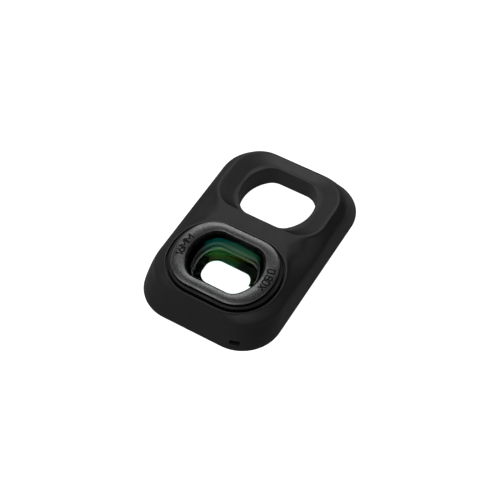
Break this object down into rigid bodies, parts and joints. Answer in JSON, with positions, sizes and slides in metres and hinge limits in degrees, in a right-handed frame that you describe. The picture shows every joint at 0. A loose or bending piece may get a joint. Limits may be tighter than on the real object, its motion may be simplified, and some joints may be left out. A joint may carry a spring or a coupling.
{
  "type": "wide-angle conversion lens",
  "caption": "Clip-on wide-angle conversion lens: drafted oblong black housing with a flat-sided lens in a raised grey bezel at one end and a dished see-through window at the other.",
  "frame": {"origin": "middle of the rear rim's footprint, on the plane that the part rests on", "axes": "+Z out of the front glass, +Y along the plate from the lens towards the window, +X to the right seen from the front with +Y up"},
  "size_m": [0.03, 0.0468, 0.0079],
  "materials": {
    "shell_plastic": "fine matt texture",
    "cover_plastic": "matt",
    "pad_rubber": "soft matt",
    "black_anodised": "black anodised",
    "grey_anodised": "bead-blasted grey anodised",
    "coated_glass": "polished, green anti-reflection coating",
    "mask_black": "flocked black",
    "magnet_nickel": "nickel plated"
  },
  "bodies": {
    "root": {"main_shell": "shell_plastic", "back_cover": "cover_plastic", "lens_pad": "pad_rubber", "lens_barrel": "black_anodised", "lens_bezel": "grey_anodised", "hood_ring": "black_anodised", "front_element": "coated_glass", "spacer_ring": "black_anodised", "rear_element": "coated_glass", "field_mask": "mask_black", "magnet_near_left": "magnet_nickel", "magnet_near_right": "magnet_nickel", "magnet_far_left": "magnet_nickel", "magnet_far_right": "magnet_nickel"}
  },
  "joints": []
}
